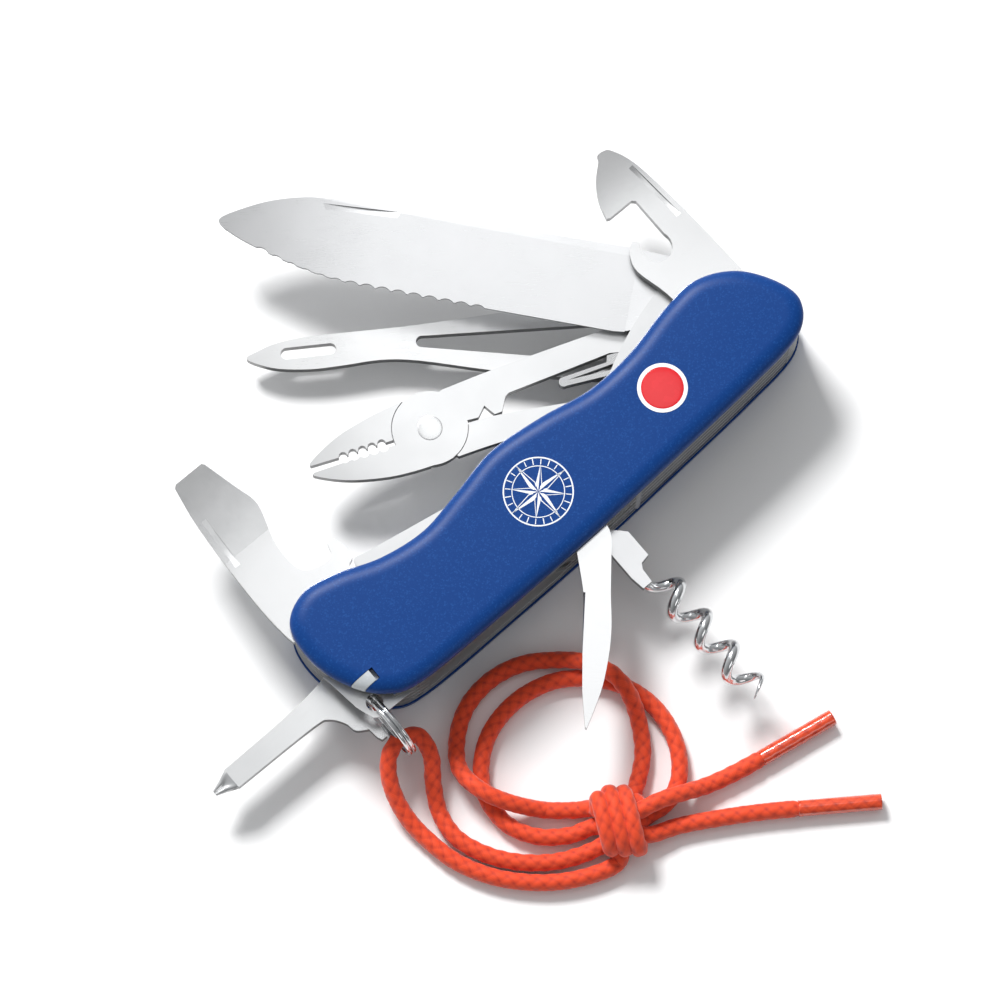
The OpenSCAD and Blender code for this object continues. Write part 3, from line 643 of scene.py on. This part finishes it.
# The springs' side walls are darkened strongly: painted shade in the gaps between the liners.
finish(steel("spring_back", (0.5, 0.505, 0.51), 0, 0.2, 0.14, wall_shade=0.22),
       "opener_spring", "blade_spring", "pliers_spring_bar", "driver_spring", "spike_spring",
       "pliers_return_spring")
pin_finish = steel("pin_turned", (0.8, 0.805, 0.81), 0, 0.2, 0.1, stretch=1.0, wall_shade=0.6)
finish(pin_finish, "right_pin", "left_pin", "middle_pin", "spring_pin")
finish(steel("shank_polish", (0.66, 0.665, 0.675), 90, 0.14, 0.1), "corkscrew_shank")

# %% [markdown]
# ## Geometry Nodes: the split ring
# A split ring is two turns of wire wound flat against each other. A spiral whose radius stays the
# same is exactly that, so one spiral, swept with a round profile, makes the ring. Its sizes are
# named inputs, so the same tree makes a ring of any size.

# %% Tree helper
def node_tree(name, inputs):
    tree = bpy.data.node_groups.new(name, "GeometryNodeTree")
    tree.interface.new_socket("Geometry", in_out="INPUT", socket_type="NodeSocketGeometry")
    for label, kind, value in inputs:
        socket = tree.interface.new_socket(label, in_out="INPUT", socket_type="NodeSocket" + kind)
        if value is not None:
            socket.default_value = value
    tree.interface.new_socket("Geometry", in_out="OUTPUT", socket_type="NodeSocketGeometry")
    return tree, tree.nodes.new("NodeGroupInput"), tree.nodes.new("NodeGroupOutput")


def applied(piece):
    """Keeps what the piece's modifier makes as its own plain mesh."""
    bpy.context.view_layer.update()
    seen = piece.evaluated_get(bpy.context.evaluated_depsgraph_get())
    made = bpy.data.meshes.new_from_object(seen)
    piece.modifiers.clear()
    piece.data = made
    return piece


def grow(piece, tree, values):
    """Runs the tree on a piece and keeps the result as a plain mesh."""
    modifier = piece.modifiers.new("tree", "NODES")
    modifier.node_group = tree
    for item in tree.interface.items_tree:
        if item.in_out == "INPUT" and item.name in values:
            modifier[item.identifier] = values[item.name]
    applied(piece)
    print(piece.name, len(piece.data.polygons), "faces from", tree.name)
    return piece


# %% Ring tree
ring_tree, ring_in, ring_out = node_tree("wound_wire", [
    ("Radius", "Float", 0.006), ("Wire", "Float", 0.001), ("Turns", "Float", 2.0),
    ("Finish", "Material", None)])
nodes, links = ring_tree.nodes, ring_tree.links
spiral = nodes.new("GeometryNodeCurveSpiral")
spiral.inputs["Resolution"].default_value = 72
links.new(ring_in.outputs["Turns"], spiral.inputs["Rotations"])
links.new(ring_in.outputs["Radius"], spiral.inputs["Start Radius"])
links.new(ring_in.outputs["Radius"], spiral.inputs["End Radius"])
links.new(math_node("MULTIPLY", ring_in.outputs["Wire"], ring_in.outputs["Turns"]),
          spiral.inputs["Height"])
wire = nodes.new("GeometryNodeCurvePrimitiveCircle")
wire.inputs["Resolution"].default_value = 20
links.new(math_node("MULTIPLY", ring_in.outputs["Wire"], 0.5), wire.inputs["Radius"])
swept = nodes.new("GeometryNodeCurveToMesh")
swept.inputs["Fill Caps"].default_value = True
links.new(spiral.outputs["Curve"], swept.inputs["Curve"])
links.new(wire.outputs["Curve"], swept.inputs["Profile Curve"])
smooth = nodes.new("GeometryNodeSetShadeSmooth")
links.new(swept.outputs[0], smooth.inputs[0])
real = nodes.new("GeometryNodeRealizeInstances")
links.new(smooth.outputs[0], real.inputs[0])
coat = nodes.new("GeometryNodeSetMaterial")
links.new(real.outputs[0], coat.inputs[0])
links.new(ring_in.outputs["Finish"], coat.inputs["Material"])
links.new(coat.outputs[0], ring_out.inputs[0])

# %% Key ring
RING_AT = (-50.3 * MM, -13.7 * MM, 10.65 * MM)
WIRE = 0.88 * MM
ENDS_AT = 0.3  # radians round the ring, where its two wire ends lie
bright = steel("bright_wire", (0.72, 0.73, 0.74), 0, 0.12, 0.1,
               width=0.2, bump=0.002, stretch=4.0, wall_shade=1.0)
ring = new_piece("split_ring", [(0, 0, 0)], [], bright)
grow(ring, ring_tree, {"Radius": 6.3 * MM, "Wire": WIRE, "Turns": 2.0, "Finish": bright})
ring.data.transform(Matrix.Translation(RING_AT) @ Matrix.Rotation(math.pi / 2, 4, "Y")
                    @ Matrix.Rotation(ENDS_AT, 4, "Z") @ Matrix.Translation((0, 0, -WIRE)))


# %% Outward faces
def outwards(piece):
    mesh = bmesh.new()
    mesh.from_mesh(piece.data)
    bmesh.ops.remove_doubles(mesh, verts=mesh.verts, dist=1e-7)
    bmesh.ops.recalc_face_normals(mesh, faces=mesh.faces)
    mesh.to_mesh(piece.data)
    mesh.free()
    return piece


outwards(ring)
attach(ring, "ring")
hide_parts("key_ring")

# %% [markdown]
# ## The corkscrew's wire
# The wire leaves the flat shank, opens out into a helix and ends in a ground point. The CAD holds a
# coarse tube there. This one follows the same line with many more rings and a round section, so the
# polished wire gets long clean highlights.

# %% Corkscrew
PIVOT = np.array([-0.6, -9.8, 9.6])
WORM_TURNS = 3.85
t = np.linspace(0, WORM_TURNS, 420)
reach_out = 2.4 * np.minimum(1, 0.45 + 1.6 * t)
turn = np.pi + 2 * np.pi * t
forward = 13.9 + 7.52 * t
sideways = 4.9 - 2.4 + reach_out * (1 + np.cos(turn))
lifted = 1.15 + reach_out * np.sin(turn)
worm_line = np.stack([PIVOT[0] + sideways, PIVOT[1] - forward, PIVOT[2] + lifted], 1)
thick = np.minimum(1, (WORM_TURNS - t) * 1.4 + 0.12)
u, v = sides_of(worm_line)
angle = np.linspace(0, 2 * np.pi, 24, endpoint=False)
points = (worm_line[:, None] + thick[:, None, None] * (np.cos(angle)[None, :, None] * u[:, None]
                                                       + np.sin(angle)[None, :, None] * v[:, None]))
walls, first, last = tube_faces(len(t), 24)
worm = new_piece("corkscrew_wire", points.reshape(-1, 3) * MM, walls + [first, last], bright)
outwards(worm)
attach(worm, "corkscrew")
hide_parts("corkscrew_worm")
print("wire", round(float(np.linalg.norm(np.diff(worm_line, axis=0), axis=1).sum()), 1), "mm long")

# %% [markdown]
# ## The scales
# Each side of the handle is a moulded nylon scale, flat on the steel and rounded over all round. Its
# outline is a closed curve, and each ring of points inside it is the same curve moved inwards. The
# rings climb a quarter of an ellipse, which gives the soft shoulder that catches the light.

# %% Scale outline
handle = [(-48, 13.6), (-41, 12.5), (-33, 9.6), (-24, 8.4), (-15, 9.9), (-5, 11.8), (6, 10.8), (16, 9),
          (26, 9.5), (36, 11.7), (44, 12.2), (51, 8.6), (55.4, 2), (56, -3.4), (51.5, -7.6), (40, -9.2),
          (20, -10.6), (0, -11.8), (-20, -12.4), (-41, -12.5), (-48, -10), (-52.4, -4.4), (-54.6, 3),
          (-53.5, 10.4)]
rim = through(handle, 10, closed=True)
tangent = np.roll(rim, -1, axis=0) - np.roll(rim, 1, axis=0)
inward = np.stack([tangent[:, 1], -tangent[:, 0]], 1) / np.linalg.norm(tangent, axis=1)[:, None]
SHOULDER = 3.3
WALL = 1.1
SCALE_T = 3.0


def scale_piece(name, floor_z, way, material):
    steps = 12
    levels = [(0.0, 0.0), (0.0, 0.5)]
    for i in range(steps + 1):
        a = math.pi / 2 * i / steps
        levels.append((SHOULDER * (1 - math.cos(a)), WALL + (SCALE_T - WALL) * math.sin(a)))
    points = [(*(rim[i] + inset * inward[i]), floor_z + way * height)
              for inset, height in levels for i in range(len(rim))]
    walls, first, last = tube_faces(len(levels), len(rim))
    piece = new_piece(name, np.array(points) * MM, walls + [first, last], material)
    return outwards(piece)


# %% Nylon grain
grain_group, grain_in, grain_out = group(
    "moulded_grain", [("Color", "Color", (0.1, 0.1, 0.1, 1)), ("Fleck", "Color", (0.3, 0.3, 0.3, 1)),
                      ("Size", "Float", 5200.0), ("Base", "Float", 0.4)],
    [("Color", "Color"), ("Roughness", "Float"), ("Height", "Float")])
nodes, links = grain_group.nodes, grain_group.links
place = nodes.new("ShaderNodeTexCoord")
pebble = nodes.new("ShaderNodeTexVoronoi")
links.new(place.outputs["Object"], pebble.inputs["Vector"])
links.new(grain_in.outputs["Size"], pebble.inputs["Scale"])
dust = nodes.new("ShaderNodeTexNoise")
dust.inputs["Scale"].default_value = 60
dust.inputs["Detail"].default_value = 4
links.new(place.outputs["Object"], dust.inputs["Vector"])
parts = nodes.new("ShaderNodeSeparateXYZ")
links.new(pebble.outputs["Color"], parts.inputs[0])
fleck = nodes.new("ShaderNodeMapRange")
fleck.inputs["From Min"].default_value = 0.72
fleck.inputs["From Max"].default_value = 1.0
fleck.inputs["To Max"].default_value = 0.55
links.new(parts.outputs["X"], fleck.inputs["Value"])
tint = nodes.new("ShaderNodeMix")
tint.data_type = "RGBA"
links.new(fleck.outputs["Result"], tint.inputs["Factor"])
links.new(grain_in.outputs["Color"], tint.inputs["A"])
links.new(grain_in.outputs["Fleck"], tint.inputs["B"])
links.new(tint.outputs["Result"], grain_out.inputs["Color"])
links.new(math_node("MULTIPLY_ADD", dust.outputs["Fac"], 0.16, grain_in.outputs["Base"]),
          grain_out.inputs["Roughness"])
links.new(pebble.outputs["Distance"], grain_out.inputs["Height"])
nylon = new_material("blue_nylon", (0.004, 0.034, 0.215), roughness=0.42, Specular_IOR_Level=0.16)
node = use(nylon, grain_group, {"Color": (0.003, 0.04, 0.19, 1), "Fleck": (0.012, 0.075, 0.28, 1),
                                "Size": 4200, "Base": 0.34}, Color="Base Color", Roughness="Roughness")
add_bump(nylon, node, "Height", 0.02 * MM, 0.35)


# %% Cutting
def cut(piece, low, high):
    """Takes a box out of the piece, from one corner to the other, in millimetres."""
    low, high = np.array(low) * MM, np.array(high) * MM
    corners = [(x, y, z) for x in (low[0], high[0])
               for y in (low[1], high[1]) for z in (low[2], high[2])]
    faces = [(0, 1, 3, 2), (4, 6, 7, 5), (0, 4, 5, 1), (2, 3, 7, 6), (0, 2, 6, 4), (1, 5, 7, 3)]
    cutter = new_piece("cutter", corners, faces, piece.data.materials[0], smooth=False)
    return subtract(piece, cutter)


def subtract(piece, cutter):
    outwards(cutter)
    modifier = piece.modifiers.new("cut", "BOOLEAN")
    modifier.operation = "DIFFERENCE"
    modifier.solver = "EXACT"
    modifier.object = cutter
    applied(piece)
    bpy.data.objects.remove(cutter)
    return piece


def round_plate(name, at, radius, low, high, material, sides=96):
    angle = np.linspace(0, 2 * np.pi, sides, endpoint=False)
    points = [(at[0] + radius * math.cos(a), at[1] + radius * math.sin(a), z)
              for z in (low, high) for a in angle]
    walls, first, last = tube_faces(2, sides)
    return new_piece(name, np.array(points) * MM, walls + [first, last], material, smooth=False)


# %% Scales
BADGE_AT = (26, 0.5)
BADGE_R = 4.6
TOP = 21.5
FRONT_FLOOR, REAR_FLOOR = 18.5, 3  # the steel faces that the two scales lie on
front = scale_piece("front_scale_shell", FRONT_FLOOR, 1, nylon)
cut(front, (-60, -7.4, 17), (-47.2, -5, 24))
subtract(front, round_plate("pocket", BADGE_AT, BADGE_R + 0.03, TOP - 0.8, TOP + 1, nylon))
rear = scale_piece("back_scale_shell", REAR_FLOOR, -1, nylon)
cut(rear, (-60, -7.4, -2), (-47.2, -5, 5))
for piece, node_name in ((front, "front_scale"), (rear, "back_scale")):
    piece.data.polygons.foreach_set("use_smooth", [True] * len(piece.data.polygons))
    piece.data.set_sharp_from_angle(angle=math.radians(40))
    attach(piece, "handle")
    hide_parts(node_name)
    print(piece.name, len(piece.data.polygons), "faces")

# %% [markdown]
# ## The cross-point driver
# The driver is a flat shank whose end is ground to a point with four flutes. The shank is a plate,
# and the point is lofted from sections: a rounded rectangle as wide as the shank, which narrows
# while four hollows deepen in it, so that four thin blades are left.

# %% Plate helper
def plate(name, outline, low, high, material):
    """A flat plate between two heights, from an outline in the object's plane, in millimetres."""
    n = len(outline)
    points = [(x, y, z) for z in (low, high) for x, y in outline]
    faces = [tuple(range(n))[::-1], tuple(range(n, 2 * n))]
    faces += [(i, (i + 1) % n, n + (i + 1) % n, n + i) for i in range(n)]
    return outwards(new_piece(name, np.array(points) * MM, faces, material, smooth=False))


def joined(name, *parts):
    """One object from several, and it keeps the first one's material."""
    mesh = bmesh.new()
    for part in parts:
        mesh.from_mesh(part.data)
    whole = new_piece(name, [(0, 0, 0)], [], parts[0].data.materials[0])
    mesh.to_mesh(whole.data)
    mesh.free()
    for part in parts:
        bpy.data.objects.remove(part)
    return whole


# %% Driver
DRIVER_PIVOT = (-44, -3)
DRIVER_LOW, DRIVER_HIGH = 6.6, 8.9
BORE_R = 1.32
SECTIONS, ROUND = 28, 64
POINT_FROM, POINT_LONG = 34.3, 4.1
lower = through([(34.4, -2.6), (32, -2.6), (18, -3), (10, -4), (6, -6), (0, -6.3), (-4.6, -4),
                 (-6, 0), (-4.4, 4.4), (0, 6.2)], 5)
upper = through([(9.6, 8.6), (11.6, 7.2), (12.2, 5), (14, 2.6), (17, 1.8), (32, 1.6),
                 (34.4, 1.6)], 5)
shank = [*lower, (7.7, 3.4), (7.7, 7.4), (7.9, 11.6), (9, 11.6), (9.4, 10.6), *upper]
shank_plate = plate("driver_shank", [(DRIVER_PIVOT[0] - a, DRIVER_PIVOT[1] - b) for a, b in shank],
                    DRIVER_LOW, DRIVER_HIGH, driver_finish)
subtract(shank_plate, round_plate("bore", DRIVER_PIVOT, BORE_R, 5, 10, driver_finish, sides=48))
angle = np.linspace(0, 2 * np.pi, ROUND, endpoint=False)
driver_mid = (DRIVER_LOW + DRIVER_HIGH) / 2
sections = []
for a in np.linspace(0, 1, SECTIONS):
    wide = 2.1 - 1.5 * a ** 1.3
    deep = 1.15 - 0.6 * a ** 1.6
    power = 2 / (5 - 3 * min(1, a * 2))
    x = wide * np.sign(np.cos(angle)) * np.abs(np.cos(angle)) ** power
    z = deep * np.sign(np.sin(angle)) * np.abs(np.sin(angle)) ** power
    flute = 1 - min(0.5, 0.9 * a) * np.abs(np.cos(2 * angle)) ** 3
    run = POINT_FROM + POINT_LONG * a
    sections += [(DRIVER_PIVOT[0] - run, DRIVER_PIVOT[1] + 0.5 - flute[k] * x[k],
                  driver_mid + flute[k] * z[k]) for k in range(ROUND)]
walls, first, last = tube_faces(SECTIONS, ROUND)
point = outwards(new_piece("driver_point", np.array(sections) * MM, walls + [first, last],
                           driver_finish))
driver = joined("cross_driver_ground", shank_plate, point)
driver.data.set_sharp_from_angle(angle=math.radians(28))
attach(driver, "driver")
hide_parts("cross_driver")

# %% [markdown]
# ## Geometry Nodes: the printed rose
# A compass rose is one ray repeated round a centre, with a ring of short dashes round it. One tree
# does both: it copies whatever mesh it is given round a circle, turns each copy outwards, and can
# shrink every second copy, which gives the long and short rays. The print is a thin raised film.

# %% Copies in a ring
round_tree, round_in, round_out = node_tree("copies_in_a_ring", [
    ("Count", "Int", 8), ("Radius", "Float", 0.0), ("Short", "Float", 1.0),
    ("Finish", "Material", None)])
nodes, links = round_tree.nodes, round_tree.links
circle = nodes.new("GeometryNodeMeshCircle")
links.new(round_in.outputs["Count"], circle.inputs["Vertices"])
links.new(round_in.outputs["Radius"], circle.inputs["Radius"])
index = nodes.new("GeometryNodeInputIndex")
step = math_node("DIVIDE", 2 * math.pi, round_in.outputs["Count"])
facing = nodes.new("ShaderNodeCombineXYZ")
links.new(math_node("MULTIPLY", index.outputs[0], step), facing.inputs["Z"])
odd = math_node("MODULO", index.outputs[0], 2)
shrink = math_node("MULTIPLY_ADD", odd, math_node("SUBTRACT", round_in.outputs["Short"], 1), 1)
copies = nodes.new("GeometryNodeInstanceOnPoints")
links.new(circle.outputs["Mesh"], copies.inputs["Points"])
links.new(round_in.outputs["Geometry"], copies.inputs["Instance"])
links.new(facing.outputs[0], copies.inputs["Rotation"])
links.new(shrink, copies.inputs["Scale"])
real = nodes.new("GeometryNodeRealizeInstances")
links.new(copies.outputs[0], real.inputs[0])
coat = nodes.new("GeometryNodeSetMaterial")
links.new(real.outputs[0], coat.inputs[0])
links.new(round_in.outputs["Finish"], coat.inputs["Material"])
links.new(coat.outputs[0], round_out.inputs[0])


# %% Flat prints
FILM = 0.03
ROSE_AT = (-3.6, 0.3)
print_ink = new_material("white_print", (0.8, 0.82, 0.84), roughness=0.5)
node = use(print_ink, grain_group, {"Color": (0.78, 0.8, 0.83, 1), "Fleck": (0.6, 0.64, 0.7, 1),
                                    "Size": 4200, "Base": 0.4},
           Color="Base Color", Roughness="Roughness")
add_bump(print_ink, node, "Height", 0.01 * MM, 0.4)


def film(name, outlines):
    """Flat shapes, each a closed plate from just under the surface to just over it."""
    points, faces = [], []
    for shape in outlines:
        n, start = len(shape), len(points)
        points += [(x, y, z) for z in (-FILM, FILM) for x, y in shape]
        k = range(n)
        faces += [tuple(start + i for i in reversed(k)), tuple(start + n + i for i in k)]
        faces += [(start + i, start + (i + 1) % n, start + n + (i + 1) % n, start + n + i)
                  for i in k]
    return new_piece(name, np.array(points) * MM, faces, print_ink, smooth=False)


def hoop(radius, width, sides=96):
    a = [2 * math.pi * i / sides for i in range(sides + 1)]
    out, ins = radius + width / 2, radius - width / 2
    return [[(out * math.cos(p), out * math.sin(p)), (out * math.cos(q), out * math.sin(q)),
             (ins * math.cos(q), ins * math.sin(q)), (ins * math.cos(p), ins * math.sin(p))]
            for p, q in zip(a, a[1:])]


# %% Rose
ray = film("rose_rays", [[(0.1, 0.02), (1.7, 0.72), (6.25, 0.02)],
                         [(1.7, -0.72), (0.9, -0.38), (1.02, -0.26), (1.7, -0.56),
                          (4.3, -0.18), (6.2, -0.02)]])
grow(ray, round_tree, {"Count": 8, "Radius": 0.0, "Short": 0.82, "Finish": print_ink})
dash = film("rose_dashes", [[(-0.55, -0.09), (0.55, -0.09), (0.55, 0.09), (-0.55, 0.09)]])
grow(dash, round_tree, {"Count": 24, "Radius": 5.55 * MM, "Short": 0.9, "Finish": print_ink})
rings = film("rose_rings", hoop(6.3, 0.26) + hoop(4.75, 0.16))
for piece in (ray, dash, rings):
    piece.data.transform(Matrix.Translation((ROSE_AT[0] * MM, ROSE_AT[1] * MM, TOP * MM)))
    outwards(piece)
    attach(piece, "handle")

# %% [markdown]
# ## The badge and the small inlays
# A plain round badge of red enamel sits in a white rim. Enamel is smooth and glossy, with a slight
# dome that the CAD's flat disc doesn't have, so a turned dome takes its place.

# %% Enamel
red = new_material("red_enamel", (0.5, 0.005, 0.01), roughness=0.25,
                   Coat_Weight=0.25, Coat_Roughness=0.05)
use(red, grain_group, {"Color": (0.6, 0.008, 0.014, 1), "Fleck": (0.66, 0.012, 0.02, 1),
                       "Size": 900, "Base": 0.14}, Color="Base Color", Roughness="Roughness")
white = new_material("white_enamel", (0.85, 0.86, 0.87), roughness=0.25)
use(white, grain_group, {"Color": (0.84, 0.85, 0.87, 1), "Fleck": (0.8, 0.81, 0.84, 1),
                         "Size": 900, "Base": 0.2}, Color="Base Color", Roughness="Roughness")
grey = new_material("grey_plastic", (0.5, 0.52, 0.53), roughness=0.4)
use(grey, grain_group, {"Color": (0.5, 0.53, 0.55, 1), "Fleck": (0.6, 0.62, 0.64, 1),
                        "Size": 3000, "Base": 0.3}, Color="Base Color", Roughness="Roughness")
finish(white, "badge_rim")
tweezer_finish = steel("tweezer_steel", (0.7, 0.7, 0.71), 0, 0.2, 0.1, wall_shade=0.8)


def slim_tool(name, body, node_name, floor_z, way, thick, material):
    """A thin tool kept in a scale. Its head is cut from the scale's own shape, so it lies flush."""
    head = scale_piece(name + "_head", floor_z, way, material)
    cut(head, (-60, -20, -5), (-52, 20, 30))
    cut(head, (-48, -20, -5), (60, 20, 30))
    cut(head, (-60, -20, -5), (60, -7.3, 30))
    cut(head, (-60, -5.1, -5), (60, 20, 30))
    low, high = sorted((floor_z + way * 0.05, floor_z + way * (0.05 + thick)))
    shaft = plate(name + "_shaft", [(-48.2, -7.3), (-10.2, -6.7), (-5.6, -6.2), (-10.2, -5.7),
                                    (-48.2, -5.1)], low, high, material)
    tool = joined(name, head, shaft)
    tool.data.set_sharp_from_angle(angle=math.radians(40))
    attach(tool, body)
    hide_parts(node_name)
    print(name, len(tool.data.polygons), "faces")


slim_tool("toothpick_grey", "pick", "toothpick", FRONT_FLOOR, 1, 1.1, grey)
slim_tool("tweezers_steel", "tweezer", "tweezers", REAR_FLOOR, -1, 0.9,
          tweezer_finish)


def turned(name, profile, at, material, sides=96):
    """A solid of revolution from (radius, height) points, closed at the axis."""
    angle = np.linspace(0, 2 * np.pi, sides, endpoint=False)
    points = [(at[0] + r * math.cos(a), at[1] + r * math.sin(a), z)
              for r, z in profile for a in angle]
    walls, first, last = tube_faces(len(profile), sides)
    return outwards(new_piece(name, np.array(points) * MM, walls + [first, last], material))


profile = [(3.9, TOP - 0.8), (3.9, TOP - 0.02)] + [
    (3.9 * math.cos(a), TOP + 0.14 * math.sin(a)) for a in np.linspace(0.1, 1.5, 12)]
badge = turned("badge_dome", profile, BADGE_AT, red)
badge.data.set_sharp_from_angle(angle=math.radians(60))
JAW_PIVOT = (-9.6905, 23.6392)
TOOL_LOW, TOOL_TOP = 9.6, 11.9
profile = [(1.4, TOOL_LOW + 0.02), (1.4, TOOL_TOP + 0.01), (2.3, TOOL_TOP + 0.01)] + [
    (2.3 * math.cos(a), TOOL_TOP + 0.01 + 0.08 * math.sin(a)) for a in np.linspace(0.3, 1.52, 10)]
rivet = turned("rivet_dome", profile, JAW_PIVOT, pin_finish)
rivet.data.set_sharp_from_angle(angle=math.radians(60))
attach(rivet, "pliers")
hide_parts("pliers_rivet")
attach(badge, "handle")
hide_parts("badge")
